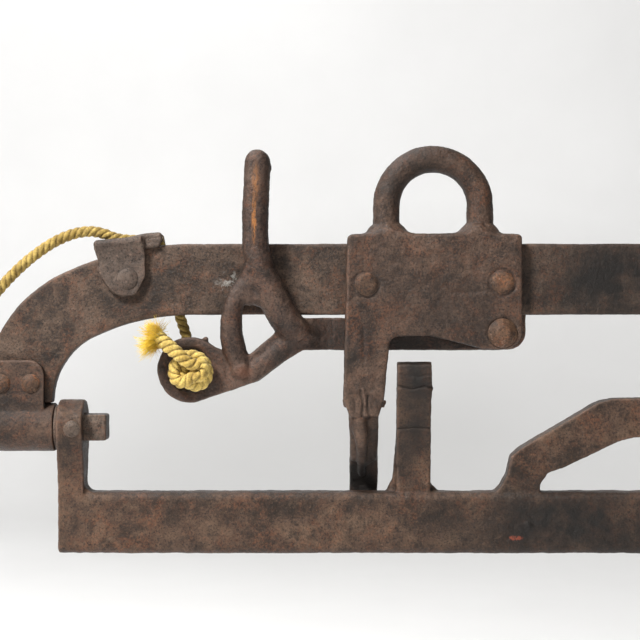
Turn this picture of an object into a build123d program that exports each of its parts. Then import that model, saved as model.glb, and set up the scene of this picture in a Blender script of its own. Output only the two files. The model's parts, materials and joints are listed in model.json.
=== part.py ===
from build123d import *
import math
import os

# A trip yoke for a hoist, hanging from its eye. +X runs along the yoke, +Z is up and -Y is the front.
# The origin is the centre of the hanging eye, in the middle plane of the yoke bar. Millimetres.

# Yoke: a flat bar bent edgewise at both ends
BAR_HEIGHT = 38.1
BAR_THICKNESS = 9.5
BAR_MID_Z = -39.7
BAR_STRAIGHT = 129.6
SHOULDER_RADIUS = 144.0
SHOULDER_TURN = 25.0
CORNER_RADIUS = 58.0
LEG_END_Z = -106.3
BAR_EDGE = 1.2

# Hanging eye and the cheeks that clamp the bar
EYE_RADIUS = 25.2
EYE_SECTION = 7.2
CHEEK_THICKNESS = 6.5
CHEEK_TOP_Z = -15.7
LEDGE_BACK_Y = 7.2
TONGUE_LEFT = -44.8
TONGUE_RIGHT = -29.7
TONGUE_END_Z = -178.0
HANGER_RIVET_PLACES = [(-36.2, -42.7), (36.2, -41.6)]
HANGER_RIVET = 8.0
HANGER_HEAD = 13.0

# Trip lever
LEVER_PIVOT = (36.2, -68.6)
LEVER_PIN = 9.0
LEVER_END_RADIUS = 9.2
RUNNING_FIT = 0.05
ARM_THICKNESS = 8.5
LEVER_EYE = (-130.4, -88.3)
LEVER_EYE_RADIUS = 17.5
LEVER_EYE_HOLE = 12.0
HANDLE_RADIUS = 6.9
STRUT_RADIUS = 4.5

# Rope guide
GUIDE_RIVET = (-164.0, -39.6)
GUIDE_THICKNESS = 3.5
ROPE_CHANNEL_Y = 11.6

# Load frame and its trunnions
TRUNNION_Z = -119.3
FRAME_TOP_Z = -153.9
FRAME_BOTTOM_Z = -186.8
FRAME_HALF_DEPTH = 8.0
UPRIGHT_INNER = 187.4
UPRIGHT_OUTER = 201.4
UPRIGHT_RADIUS = 15.0
POST_LEFT = -20.0
POST_RIGHT = -1.6
RAIL_HALF_DEPTH = 6.0
PIN_SQUARE = 14.0
PIN_STUB_X = 175.5
PIN_RADIUS = 6.0
PIN_END_X = 251.0
CROSS_RIVET_X = 192.6
CROSS_RIVET = 7.0

# End bearings, riveted over the ends of the yoke's legs
BEARING_OUTER = 239.5
BEARING_INNER = 203.3
BEARING_CHEEK_INNER = 208.5
BEARING_HALF_DEPTH = 9.5
BEARING_TOP_Z = -83.0
BEARING_BOSS = 13.0
BEARING_RIVET_PLACES = [(-231.5, -95.5), (-215.5, -95.5)]
BEARING_RIVET = 6.0
WASHER_THICKNESS = 1.6
WASHER_RADIUS = 12.0
COTTER_X = 246.2
COTTER = 2.8

# Rope
ROPE_RADIUS = 2.9
KNOT_RADII = (11.3, 8.5)
KNOT_CENTRE = (-130.4, -13.5, -88.0)

FRONT_FACE = BAR_THICKNESS / 2
CHEEK_FRONT = FRONT_FACE + CHEEK_THICKNESS

os.makedirs("parts", exist_ok=True)


def save(built, name):
    """Label one finished piece and write it."""
    built.part.label = name
    export_step(built.part, f"parts/{name}.step")


def bar_edge(side):
    """One edge of the left half of the bent bar, from the middle out: side is 1 for the outer edge."""
    away = side * BAR_HEIGHT / 2
    top = Line((0, BAR_MID_Z + away), (-BAR_STRAIGHT, BAR_MID_Z + away))
    shoulder = JernArc(top @ 1, (-1, 0), SHOULDER_RADIUS + away, SHOULDER_TURN)
    corner = JernArc(shoulder @ 1, shoulder % 1, CORNER_RADIUS + away, 90 - SHOULDER_TURN)
    leg = Line(corner @ 1, ((corner @ 1).X, LEG_END_Z))
    return leg @ 1


def drill(places, radius):
    """Round holes from front to back of the piece being built."""
    with BuildSketch(Plane.XZ) as holes:
        with Locations(*places):
            Circle(radius)
    extrude(holes.sketch, amount=60, both=True, mode=Mode.SUBTRACT)


def rivet(place, front, back, shank, head, dome):
    """A rivet along Y with a low domed head on each side."""
    x, z = place
    with BuildSketch(Plane(origin=(x, 0, z), x_dir=(1, 0, 0), z_dir=(0, 0, 1))) as half:
        with BuildLine():
            TangentArc((0, -front - dome), (head / 2, -front), tangent=(1, 0))
            Polyline((head / 2, -front), (shank / 2, -front), (shank / 2, back), (head / 2, back))
            TangentArc((0, back + dome), (head / 2, back), tangent=(1, 0))
            Line((0, back + dome), (0, -front - dome))
        make_face()
    revolve(half.sketch, axis=Axis((x, 0, z), (0, 1, 0)))


def corner_radii(points):
    """The largest arc that the two runs beside each corner leave room for."""
    radii = []
    for before, here, after in zip(points, points[1:], points[2:]):
        run_in = Vector(*here) - Vector(*before)
        run_out = Vector(*after) - Vector(*here)
        half_turn = math.radians(run_in.get_angle(run_out)) / 2
        radii.append(0.45 * min(run_in.length, run_out.length) / math.tan(half_turn))
    return radii


def tube(points, radius):
    """A round bar or rope along straight runs joined by arcs. Returns its length."""
    with BuildLine() as route:
        FilletPolyline(*points, radius=corner_radii(points))
    path = route.wires()[0]
    with BuildSketch(Plane(origin=path @ 0, z_dir=path % 0)) as section:
        Circle(radius)
    sweep(section.sketch, path=path)
    return path.length


# ---------------------------------------------------------------- yoke bar
with BuildPart() as yoke_bar:
    with BuildSketch(Plane.XZ):
        with BuildLine():
            outer_end = bar_edge(1)
            inner_end = bar_edge(-1)
            Line(outer_end, inner_end)
            Line((0, BAR_MID_Z + BAR_HEIGHT / 2), (0, BAR_MID_Z - BAR_HEIGHT / 2))
        make_face()
        mirror(about=Plane.YZ)
    extrude(amount=BAR_THICKNESS / 2, both=True)
    fillet(yoke_bar.faces().filter_by(Axis.Y).edges(), BAR_EDGE)
    drill(HANGER_RIVET_PLACES, HANGER_RIVET / 2)
    drill([GUIDE_RIVET], BEARING_RIVET / 2)
    drill(BEARING_RIVET_PLACES, BEARING_RIVET / 2)
    drill([(-x, z) for x, z in BEARING_RIVET_PLACES], BEARING_RIVET / 2)
save(yoke_bar, "yoke_bar")

# ---------------------------------------------------------------- hanger casting
CHEEK_CORNERS = [
    (-46.4, CHEEK_TOP_Z),
    (47.0, CHEEK_TOP_Z),
    (47.0, -77.8),
    (25.4, -76.9),
    (-1.6, -70.2),
    (-23.6, -70.2),
    (-26.8, -105.0),
    (TONGUE_RIGHT, -113.5),
    (TONGUE_LEFT, -113.5),
    (-48.6, -104.0),
]
TONGUE_SIDE = [
    (-CHEEK_FRONT, -100.0),
    (-FRONT_FACE, -100.0),
    (-FRONT_FACE, -106.0),
    (16.5, -149.0),
    (16.5, TONGUE_END_Z),
    (9.5, TONGUE_END_Z),
    (9.5, -151.0),
    (-CHEEK_FRONT, -108.0),
]
with BuildPart() as hanger_casting:
    with BuildSketch(Plane.XZ.offset(FRONT_FACE)) as cheek:
        with BuildLine():
            Polyline(*CHEEK_CORNERS, close=True)
        make_face()
        fillet(cheek.vertices().group_by(Axis.Y)[-1], 2.5)
        fillet(cheek.vertices().filter_by_position(Axis.X, 46, 48).sort_by(Axis.Y)[0], 10.0)
        fillet(cheek.vertices().filter_by_position(Axis.X, -24, -23), 5.0)
    extrude(amount=CHEEK_THICKNESS)
    # the edges that show from the front are worn round
    fillet(hanger_casting.faces().sort_by(Axis.Y)[0].edges(), 1.4)
    # ledge over the top of the bar, under the hanging eye
    with BuildSketch(Plane.YZ.offset(-45.0)):
        with BuildLine():
            Polyline(
                (-CHEEK_FRONT + 1.5, CHEEK_TOP_Z - 0.4),
                (LEDGE_BACK_Y, CHEEK_TOP_Z - 0.4),
                (LEDGE_BACK_Y, BAR_MID_Z + BAR_HEIGHT / 2),
                (-CHEEK_FRONT + 1.5, BAR_MID_Z + BAR_HEIGHT / 2),
                close=True,
            )
        make_face()
    extrude(amount=90.0)
    # hanging eye, a round bar bent over
    with BuildLine() as eye_line:
        Line((-EYE_RADIUS, 0, -18.5), (-EYE_RADIUS, 0, 0))
        ThreePointArc((-EYE_RADIUS, 0, 0), (0, 0, EYE_RADIUS), (EYE_RADIUS, 0, 0))
        Line((EYE_RADIUS, 0, 0), (EYE_RADIUS, 0, -18.5))
    eye_path = eye_line.wires()[0]
    with BuildSketch(Plane(origin=eye_path @ 0, z_dir=eye_path % 0)):
        Circle(EYE_SECTION)
    sweep(path=eye_path)
    # flared feet of the eye
    for side in (-1, 1):
        with BuildSketch(Plane.XY.offset(CHEEK_TOP_Z - 2.0)):
            with Locations((side * (EYE_RADIUS + 0.9), -1.0)):
                Ellipse(EYE_SECTION + 3.0, EYE_SECTION + 1.6)
        with BuildSketch(Plane.XY.offset(CHEEK_TOP_Z + 6.0)):
            with Locations((side * EYE_RADIUS, 0)):
                Circle(EYE_SECTION - 0.2)
        loft()
    # tongue: from the leg it slopes back, to stand behind the load bar
    with BuildSketch(Plane.YZ.offset(TONGUE_LEFT)):
        with BuildLine():
            Polyline(*TONGUE_SIDE, close=True)
        make_face()
    extrude(amount=TONGUE_RIGHT - TONGUE_LEFT)
    # ridge down the front of the tongue
    with BuildSketch(Plane.XZ.offset(CHEEK_FRONT - 1.0)):
        with BuildLine():
            Polyline((-43.6, -108.0), (-36.2, -108.0), (-38.6, -129.0), close=True)
        make_face()
    extrude(amount=-14.0)
    drill(HANGER_RIVET_PLACES, HANGER_RIVET / 2)
    drill([LEVER_PIVOT], LEVER_PIN / 2)
save(hanger_casting, "hanger_casting")

with BuildPart() as hanger_back_plate:
    with BuildSketch(Plane.XZ.offset(-FRONT_FACE)) as back_cheek:
        with BuildLine():
            Polyline((-39.4, -21.2), (50.8, -21.2), (50.8, -77.8), (24.0, -77.8), (-8.0, -70.0), (-39.4, -66.0), close=True)
        make_face()
        fillet(back_cheek.vertices().group_by(Axis.Y)[-1], 2.5)
        fillet(back_cheek.vertices().filter_by_position(Axis.X, 50, 51).sort_by(Axis.Y)[0], 10.0)
        fillet(back_cheek.vertices().filter_by_position(Axis.X, -40, -39).sort_by(Axis.Y)[0], 4.0)
    extrude(amount=-CHEEK_THICKNESS)
    fillet(hanger_back_plate.faces().sort_by(Axis.Y)[-1].edges(), 1.4)
    drill(HANGER_RIVET_PLACES, HANGER_RIVET / 2)
    drill([LEVER_PIVOT], LEVER_PIN / 2)
save(hanger_back_plate, "hanger_back_plate")

with BuildPart() as hanger_rivets:
    for place in HANGER_RIVET_PLACES:
        rivet(place, CHEEK_FRONT, CHEEK_FRONT, HANGER_RIVET, HANGER_HEAD, 2.8)
save(hanger_rivets, "hanger_rivets")

with BuildPart() as lever_pivot_rivet:
    pivot_x, pivot_z = LEVER_PIVOT
    with BuildSketch(Plane(origin=(pivot_x, 0, pivot_z), x_dir=(1, 0, 0), z_dir=(0, 0, 1))):
        with BuildLine():
            Polyline(
                (0, -CHEEK_FRONT - 4.6),
                (3.6, -CHEEK_FRONT - 4.6),
                (8.2, -CHEEK_FRONT),
                (LEVER_PIN / 2, -CHEEK_FRONT),
                (LEVER_PIN / 2, CHEEK_FRONT),
                (7.5, CHEEK_FRONT),
                (6.0, CHEEK_FRONT + 2.4),
                (0, CHEEK_FRONT + 3.2),
                close=True,
            )
        make_face()
    revolve(axis=Axis((pivot_x, 0, pivot_z), (0, 1, 0)))
save(lever_pivot_rivet, "lever_pivot_rivet")

# ---------------------------------------------------------------- rope guide
FRONT_EAR = [(-182.8, -19.6), (-155.0, -16.2), (-154.3, -38.0), (-159.5, -48.6), (-169.5, -48.4), (-176.6, -40.0)]
REAR_EAR = [
    (-175.5, -19.5),
    (-147.0, -14.0),
    (-145.6, -21.5),
    (-150.5, -31.0),
    (-157.0, -37.0),
    (-157.5, -46.0),
    (-164.0, -49.5),
    (-171.0, -46.0),
]
# the rear ear stands off the bar above its rivet, which leaves a channel for the rope
REAR_EAR_SIDE = [
    (FRONT_FACE, -52.0),
    (FRONT_FACE, -32.0),
    (ROPE_CHANNEL_Y, -28.0),
    (ROPE_CHANNEL_Y, -10.0),
    (ROPE_CHANNEL_Y + GUIDE_THICKNESS, -10.0),
    (ROPE_CHANNEL_Y + GUIDE_THICKNESS, -29.5),
    (FRONT_FACE + GUIDE_THICKNESS, -33.3),
    (FRONT_FACE + GUIDE_THICKNESS, -52.0),
]

with BuildPart() as rope_guide_front_ear:
    with BuildSketch(Plane.XZ.offset(FRONT_FACE)) as front_shield:
        with BuildLine():
            Polyline(*FRONT_EAR, close=True)
        make_face()
        fillet(front_shield.vertices().group_by(Axis.Y)[0:4], 4.0)
        fillet(front_shield.vertices().sort_by(Axis.Y)[-2:], 1.8)
    extrude(amount=GUIDE_THICKNESS)
    # the top edge is turned out into a thick lip
    with BuildSketch(Plane.YZ.offset(-181.0)):
        with Locations((-FRONT_FACE - 3.6, -21.6)):
            Circle(2.6)
    with BuildSketch(Plane.YZ.offset(-156.2)):
        with Locations((-FRONT_FACE - 3.6, -19.2)):
            Circle(2.6)
    loft()
    drill([GUIDE_RIVET], BEARING_RIVET / 2)
save(rope_guide_front_ear, "rope_guide_front_ear")

with BuildPart() as rope_guide_rear_ear:
    with BuildSketch(Plane.XZ) as rear_shield:
        with BuildLine():
            Polyline(*REAR_EAR, close=True)
        make_face()
        fillet(rear_shield.vertices(), 2.2)
    extrude(amount=-20.0)
    with BuildSketch(Plane.YZ.offset(-190.0)):
        with BuildLine():
            Polyline(*REAR_EAR_SIDE, close=True)
        make_face()
    extrude(amount=60.0, mode=Mode.INTERSECT)
    drill([GUIDE_RIVET], BEARING_RIVET / 2)
save(rope_guide_rear_ear, "rope_guide_rear_ear")

with BuildPart() as rope_guide_rivet:
    rivet(GUIDE_RIVET, FRONT_FACE + GUIDE_THICKNESS, FRONT_FACE + GUIDE_THICKNESS, BEARING_RIVET, 12.0, 2.2)
save(rope_guide_rivet, "rope_guide_rivet")

# ---------------------------------------------------------------- end bearings
with BuildPart() as left_end_bearing:
    with BuildSketch(Plane.XZ) as bearing_cheek:
        with BuildLine():
            Polyline(
                (-BEARING_OUTER, TRUNNION_Z + 4.0),
                (-BEARING_OUTER, BEARING_TOP_Z),
                (-BEARING_CHEEK_INNER, BEARING_TOP_Z),
                (-BEARING_CHEEK_INNER, TRUNNION_Z + 4.0),
                close=True,
            )
        make_face()
        fillet(bearing_cheek.vertices().group_by(Axis.Y)[-1], 8.0)
    extrude(amount=BEARING_HALF_DEPTH, both=True)
    with BuildSketch(Plane.YZ.offset(-BEARING_OUTER)):
        with Locations((0, TRUNNION_Z)):
            Circle(BEARING_BOSS)
    extrude(amount=BEARING_OUTER - BEARING_INNER)
    # slot for the end of the leg
    with BuildSketch(Plane.YZ.offset(-BEARING_OUTER - 5)):
        with Locations((0, LEG_END_Z + 20)):
            Rectangle(BAR_THICKNESS, 40)
    extrude(amount=50, mode=Mode.SUBTRACT)
    with BuildSketch(Plane.YZ.offset(-BEARING_OUTER - 5)):
        with Locations((0, TRUNNION_Z)):
            Circle(PIN_RADIUS + RUNNING_FIT)
    extrude(amount=50, mode=Mode.SUBTRACT)
    drill(BEARING_RIVET_PLACES, BEARING_RIVET / 2)
save(left_end_bearing, "left_end_bearing")

with BuildPart() as right_end_bearing:
    mirror(left_end_bearing.part, about=Plane.YZ)
save(right_end_bearing, "right_end_bearing")

with BuildPart() as bearing_rivets:
    for x, z in BEARING_RIVET_PLACES:
        for side in (-1, 1):
            rivet((-side * x, z), BEARING_HALF_DEPTH, BEARING_HALF_DEPTH, BEARING_RIVET, 11.0, 2.2)
save(bearing_rivets, "bearing_rivets")

# ---------------------------------------------------------------- load frame
RAIL_TOP = [(30.8, FRAME_TOP_Z - 2), (36.2, -150.7), (39.4, -144.5), (41.6, -134.5), (46.5, -130.4)]
RAIL_RISE = [(92.0, -103.6), (UPRIGHT_INNER + 1, -103.6), (UPRIGHT_INNER + 1, -124.5), (104.0, -124.5)]
RAIL_FOOT = [(70.0, -140.6), (61.5, -143.6), (57.0, -150.0), (57.0, FRAME_TOP_Z - 2)]
POST_SIDE = [
    (-5.5, FRAME_TOP_Z - 2),
    (-5.5, -140.0),
    (-8.8, -119.3),
    (-14.2, -97.0),
    (-15.4, -91.0),
    (-14.6, -85.4),
    (-11.2, -83.6),
    (-7.6, -85.0),
    (-7.6, -93.0),
    (-3.5, -108.0),
    (2.0, -124.0),
    (5.5, -136.0),
    (5.5, FRAME_TOP_Z - 2),
]

with BuildPart() as load_bar:
    with BuildSketch(Plane.YZ.offset(-UPRIGHT_OUTER)):
        with Locations((0, (FRAME_TOP_Z + FRAME_BOTTOM_Z) / 2)):
            RectangleRounded(2 * FRAME_HALF_DEPTH, FRAME_TOP_Z - FRAME_BOTTOM_Z, 4.2)
    extrude(amount=2 * UPRIGHT_OUTER)
    for start in (-UPRIGHT_OUTER, UPRIGHT_INNER):
        with BuildSketch(Plane.YZ.offset(start)):
            with BuildLine():
                Polyline(
                    (-FRAME_HALF_DEPTH, FRAME_TOP_Z - 6),
                    (-FRAME_HALF_DEPTH, FRAME_TOP_Z + 8),
                    (-UPRIGHT_RADIUS, TRUNNION_Z - 3),
                    (-UPRIGHT_RADIUS, TRUNNION_Z),
                )
                ThreePointArc(
                    (-UPRIGHT_RADIUS, TRUNNION_Z), (0, TRUNNION_Z + UPRIGHT_RADIUS), (UPRIGHT_RADIUS, TRUNNION_Z)
                )
                Polyline(
                    (UPRIGHT_RADIUS, TRUNNION_Z),
                    (UPRIGHT_RADIUS, TRUNNION_Z - 3),
                    (FRAME_HALF_DEPTH, FRAME_TOP_Z + 8),
                    (FRAME_HALF_DEPTH, FRAME_TOP_Z - 6),
                    (-FRAME_HALF_DEPTH, FRAME_TOP_Z - 6),
                )
            make_face()
        extrude(amount=UPRIGHT_OUTER - UPRIGHT_INNER)
    # webs in the inner corners between uprights and bar
    for side in (-1, 1):
        with BuildSketch(Plane.XZ) as web:
            with BuildLine():
                Polyline(
                    (side * (UPRIGHT_INNER + 1), FRAME_TOP_Z - 2),
                    (side * (UPRIGHT_INNER + 1), FRAME_TOP_Z + 5),
                    (side * UPRIGHT_INNER, FRAME_TOP_Z + 5),
                )
                ThreePointArc(
                    (side * UPRIGHT_INNER, FRAME_TOP_Z + 5),
                    (side * (UPRIGHT_INNER - 1.5), FRAME_TOP_Z + 1.5),
                    (side * (UPRIGHT_INNER - 5), FRAME_TOP_Z),
                )
                Polyline(
                    (side * (UPRIGHT_INNER - 5), FRAME_TOP_Z),
                    (side * (UPRIGHT_INNER - 5), FRAME_TOP_Z - 2),
                    (side * (UPRIGHT_INNER + 1), FRAME_TOP_Z - 2),
                )
            make_face()
        extrude(amount=FRAME_HALF_DEPTH - 2, both=True)
    # latch post, which curls forward at its top
    with BuildSketch(Plane.YZ.offset(POST_LEFT)):
        with BuildLine():
            Polyline(*POST_SIDE, close=True)
        make_face()
    extrude(amount=POST_RIGHT - POST_LEFT)
    # thin gusset along the left of the post
    with BuildSketch(Plane.XZ):
        with BuildLine():
            Polyline((-22.6, FRAME_TOP_Z - 2), (-19.6, -120.0), (-18.0, -120.0), (-18.0, FRAME_TOP_Z - 2), close=True)
        make_face()
    extrude(amount=3.0, both=True)
    # brace, up from the bar and along to the right upright
    with BuildSketch(Plane.XZ) as rail:
        with BuildLine():
            Polyline(*RAIL_TOP, *RAIL_RISE, *RAIL_FOOT, close=True)
        make_face()
        fillet(rail.vertices().filter_by_position(Axis.X, 91, 105), 30.0)
    extrude(amount=RAIL_HALF_DEPTH, both=True)
    # square holes for the trunnion pins and round ones for their cross rivets
    for start in (-UPRIGHT_OUTER, UPRIGHT_INNER):
        with BuildSketch(Plane.YZ.offset(start)):
            with Locations((0, TRUNNION_Z)):
                Rectangle(PIN_SQUARE, PIN_SQUARE)
        extrude(amount=UPRIGHT_OUTER - UPRIGHT_INNER, mode=Mode.SUBTRACT)
    drill([(-CROSS_RIVET_X, TRUNNION_Z), (CROSS_RIVET_X, TRUNNION_Z)], CROSS_RIVET / 2)
save(load_bar, "load_bar")

# ---------------------------------------------------------------- trunnions
with BuildPart() as left_trunnion_pin:
    with BuildSketch(Plane.YZ.offset(-UPRIGHT_OUTER)) as square:
        with Locations((0, TRUNNION_Z)):
            Rectangle(PIN_SQUARE, PIN_SQUARE)
    extrude(amount=UPRIGHT_OUTER - PIN_STUB_X)
    with BuildSketch(Plane.YZ.offset(-UPRIGHT_OUTER)):
        with Locations((0, TRUNNION_Z)):
            Circle(PIN_RADIUS)
    extrude(amount=-(PIN_END_X - UPRIGHT_OUTER))
    chamfer(left_trunnion_pin.faces().sort_by(Axis.X)[0].edges(), 1.2)
    fillet(left_trunnion_pin.faces().sort_by(Axis.X)[-1].edges(), 1.2)
    drill([(-CROSS_RIVET_X, TRUNNION_Z)], CROSS_RIVET / 2)
    drill([(-COTTER_X, TRUNNION_Z)], COTTER / 2 + RUNNING_FIT)
save(left_trunnion_pin, "left_trunnion_pin")

with BuildPart() as right_trunnion_pin:
    with BuildSketch(Plane.YZ.offset(UPRIGHT_INNER)):
        with Locations((0, TRUNNION_Z)):
            Rectangle(PIN_SQUARE, PIN_SQUARE)
    extrude(amount=UPRIGHT_OUTER - UPRIGHT_INNER)
    with BuildSketch(Plane.YZ.offset(UPRIGHT_OUTER)):
        with Locations((0, TRUNNION_Z)):
            Circle(PIN_RADIUS)
    extrude(amount=PIN_END_X - UPRIGHT_OUTER)
    chamfer(right_trunnion_pin.faces().sort_by(Axis.X)[-1].edges(), 1.2)
    drill([(CROSS_RIVET_X, TRUNNION_Z)], CROSS_RIVET / 2)
    drill([(COTTER_X, TRUNNION_Z)], COTTER / 2 + RUNNING_FIT)
save(right_trunnion_pin, "right_trunnion_pin")

with BuildPart() as trunnion_cross_rivets:
    for side in (-1, 1):
        rivet((side * CROSS_RIVET_X, TRUNNION_Z), UPRIGHT_RADIUS, UPRIGHT_RADIUS, CROSS_RIVET, 9.5, 1.8)
save(trunnion_cross_rivets, "trunnion_cross_rivets")

with BuildPart() as thrust_washers:
    for start in (UPRIGHT_OUTER + 0.1, BEARING_OUTER + 0.2):
        for side in (-1, 1):
            with BuildSketch(Plane.YZ.offset(side * start)):
                with Locations((0, TRUNNION_Z)):
                    Circle(WASHER_RADIUS)
                    Circle(PIN_RADIUS + 0.3, mode=Mode.SUBTRACT)
            extrude(amount=side * WASHER_THICKNESS)
save(thrust_washers, "thrust_washers")

with BuildPart() as cotter_pins:
    for side in (-1, 1):
        with BuildSketch(Plane(origin=(side * COTTER_X, -PIN_RADIUS - 3.0, TRUNNION_Z), z_dir=(0, 1, 0))):
            Circle(COTTER / 2)
        extrude(amount=2 * PIN_RADIUS + 9.0)
        with BuildSketch(Plane(origin=(side * COTTER_X, -PIN_RADIUS - 5.4, TRUNNION_Z + 2.6), z_dir=(0, 1, 0))):
            Circle(COTTER / 2)
        revolve(axis=Axis((side * COTTER_X, -PIN_RADIUS - 5.4, TRUNNION_Z), (1, 0, 0)))
save(cotter_pins, "cotter_pins")

# ---------------------------------------------------------------- trip lever
LEVER_OUTLINE = [
    (-124.2, -72.0),
    (-116.8, -76.2),
    (-110.0, -79.5),
    (-99.2, -80.6),
    (-87.2, -70.2),
    (-76.0, -60.6),
    (LEVER_PIVOT[0], -60.6),
    (LEVER_PIVOT[0], LEVER_PIVOT[1] - LEVER_END_RADIUS),
    (-70.0, LEVER_PIVOT[1] - LEVER_END_RADIUS),
    (-81.0, -84.2),
    (-95.5, -94.6),
    (-105.0, -98.0),
    (-126.5, -105.3),
    LEVER_EYE,
]
# the arm lies in the bar's plane, and steps forward before the handle
LEVER_PLAN = [
    (-150, -10.0),
    (-75.0, -10.0),
    (-66.0, -8.4),
    (-57.0, -ARM_THICKNESS / 2),
    (50, -ARM_THICKNESS / 2),
    (50, ARM_THICKNESS / 2),
    (-62.0, ARM_THICKNESS / 2),
    (-80.0, -1.0),
    (-150, -1.0),
]
HANDLE_ROUTE = [
    (-94.2, -12.8, 22.2),
    (-95.6, -12.8, -24.0),
    (-88.5, -12.8, -47.0),
    (-79.0, -12.6, -60.5),
    (-71.5, -7.0, -69.0),
]
STRUT_ROUTE = [
    (-95.0, -12.8, -33.0),
    (-103.0, -12.8, -46.5),
    (-109.3, -12.4, -58.0),
    (-109.8, -10.8, -75.0),
    (-103.5, -8.2, -87.5),
]

with BuildPart() as trip_lever:
    with BuildSketch(Plane.XZ):
        with BuildLine():
            Polyline(*LEVER_OUTLINE, close=True)
        make_face()
        with Locations(LEVER_EYE):
            Circle(LEVER_EYE_RADIUS)
        with Locations(LEVER_PIVOT):
            Circle(LEVER_END_RADIUS)
        with Locations(LEVER_EYE):
            Circle(LEVER_EYE_HOLE, mode=Mode.SUBTRACT)
    extrude(amount=20, both=True)
    with BuildSketch(Plane.XY.offset(-120)):
        with BuildLine():
            Polyline(*LEVER_PLAN, close=True)
        make_face()
    extrude(amount=80, mode=Mode.INTERSECT)
    tube(HANDLE_ROUTE, HANDLE_RADIUS)
    with Locations(HANDLE_ROUTE[0]):
        Sphere(HANDLE_RADIUS)
    tube(STRUT_ROUTE, STRUT_RADIUS)
    with Locations(STRUT_ROUTE[-1]):
        Sphere(STRUT_RADIUS + 1.2)
    drill([LEVER_PIVOT], LEVER_PIN / 2 + RUNNING_FIT)
save(trip_lever, "trip_lever")

# ---------------------------------------------------------------- rope
FREE_ROPE = [
    (-160.0, 0.0, -18.6),
    (-169.5, 0.0, -18.6),
    (-181.0, 0.0, -13.4),
    (-193.5, -1.0, -14.4),
    (-208.0, -3.5, -21.5),
    (-225.0, -7.0, -36.0),
    (-242.0, -10.0, -57.0),
    (-255.0, -12.0, -84.0),
    (-262.0, -12.5, -116.0),
    (-264.0, -11.5, -150.0),
    (-262.0, -10.0, -186.0),
    (-263.5, -9.0, -222.0),
    (-263.0, -8.5, -257.0),
    (-264.5, -8.0, -290.0),
]
ROPE_RUN = [
    (-160.0, 0.0, -18.6),
    (-153.8, 0.0, -18.6),
    (-148.6, 8.0, -17.0),
    (-146.8, 8.3, -28.0),
    (-143.2, 8.5, -42.5),
    (-137.8, 8.2, -58.5),
    (-133.6, 6.6, -70.5),
    (-131.2, 3.6, -81.5),
    (-130.4, -5.5, -88.0),
]
TAIL_ROUTE = [(-131.5, -20.0, -85.0), (-138.5, -20.5, -76.5), (-146.0, -18.0, -70.0)]
TUFT_END = (-160.0, -15.5, -66.5)
END_KNOT = (-264.8, -8.0, -296.0)


def report_cord(name, points, built, length):
    """Print a cord's length, its arcs and how its volume compares with section times length."""
    ideal = math.pi * ROPE_RADIUS**2 * length
    radii = ", ".join(f"{r:.0f}" for r in corner_radii(points))
    print(f"{name}: {length:.0f} mm, volume ratio {built.part.volume / ideal:.4f}, radii {radii}")


with BuildPart() as trip_rope_free:
    free_length = tube(FREE_ROPE, ROPE_RADIUS)
report_cord("trip_rope_free", FREE_ROPE, trip_rope_free, free_length)
save(trip_rope_free, "trip_rope_free")

with BuildPart() as trip_rope_run:
    run_length = tube(ROPE_RUN, ROPE_RADIUS)
report_cord("trip_rope_run", ROPE_RUN, trip_rope_run, run_length)
save(trip_rope_run, "trip_rope_run")

with BuildPart() as trip_rope_knot:
    wide, deep = KNOT_RADII
    with BuildSketch(Plane(origin=KNOT_CENTRE, x_dir=(1, 0, 0), z_dir=(0, 0, 1))):
        with BuildLine():
            TangentArc((0, -deep), (wide, 0), tangent=(1, 0))
            TangentArc((0, deep), (wide, 0), tangent=(1, 0))
            Line((0, -deep), (0, deep))
        make_face()
    revolve(axis=Axis(KNOT_CENTRE, (0, 1, 0)))
save(trip_rope_knot, "trip_rope_knot")

with BuildPart() as trip_rope_tail:
    tube(TAIL_ROUTE, ROPE_RADIUS)
    tuft_start = Vector(*TAIL_ROUTE[-1])
    tuft_line = Vector(*TUFT_END) - tuft_start
    with BuildSketch(Plane(origin=tuft_start - tuft_line.normalized(), z_dir=tuft_line)):
        Circle(ROPE_RADIUS)
    with BuildSketch(Plane(origin=TUFT_END, z_dir=tuft_line)):
        Circle(7.5)
    loft()
save(trip_rope_tail, "trip_rope_tail")

with BuildPart() as trip_rope_end_knot:
    with Locations(END_KNOT):
        Sphere(8.0)
save(trip_rope_end_knot, "trip_rope_end_knot")
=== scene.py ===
"""Looks of the trip-release hoist yoke: rough cast skins, laid rope, knots and a frayed end."""
import json
import math
import random

import bmesh
import bpy
import numpy as np
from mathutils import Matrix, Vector, noise


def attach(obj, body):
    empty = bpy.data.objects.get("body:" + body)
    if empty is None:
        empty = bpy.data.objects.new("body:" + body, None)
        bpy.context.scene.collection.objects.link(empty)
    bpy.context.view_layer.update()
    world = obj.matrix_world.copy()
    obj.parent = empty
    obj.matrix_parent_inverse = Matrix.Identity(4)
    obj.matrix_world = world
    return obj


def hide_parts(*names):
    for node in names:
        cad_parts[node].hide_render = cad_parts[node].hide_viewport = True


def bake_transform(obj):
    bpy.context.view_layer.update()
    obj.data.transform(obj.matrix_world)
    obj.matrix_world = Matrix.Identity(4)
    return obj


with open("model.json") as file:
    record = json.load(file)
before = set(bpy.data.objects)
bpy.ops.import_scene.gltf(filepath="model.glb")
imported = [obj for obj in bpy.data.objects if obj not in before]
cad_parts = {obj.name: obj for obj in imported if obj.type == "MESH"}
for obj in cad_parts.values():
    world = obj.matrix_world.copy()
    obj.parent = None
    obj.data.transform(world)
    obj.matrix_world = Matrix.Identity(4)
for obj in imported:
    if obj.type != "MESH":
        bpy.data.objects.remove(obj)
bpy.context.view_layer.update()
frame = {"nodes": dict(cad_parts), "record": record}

MM = 0.001
BODY_OF = {node: body for body, nodes in frame["record"]["behaviour"]["bodies"].items() for node in nodes}


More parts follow.
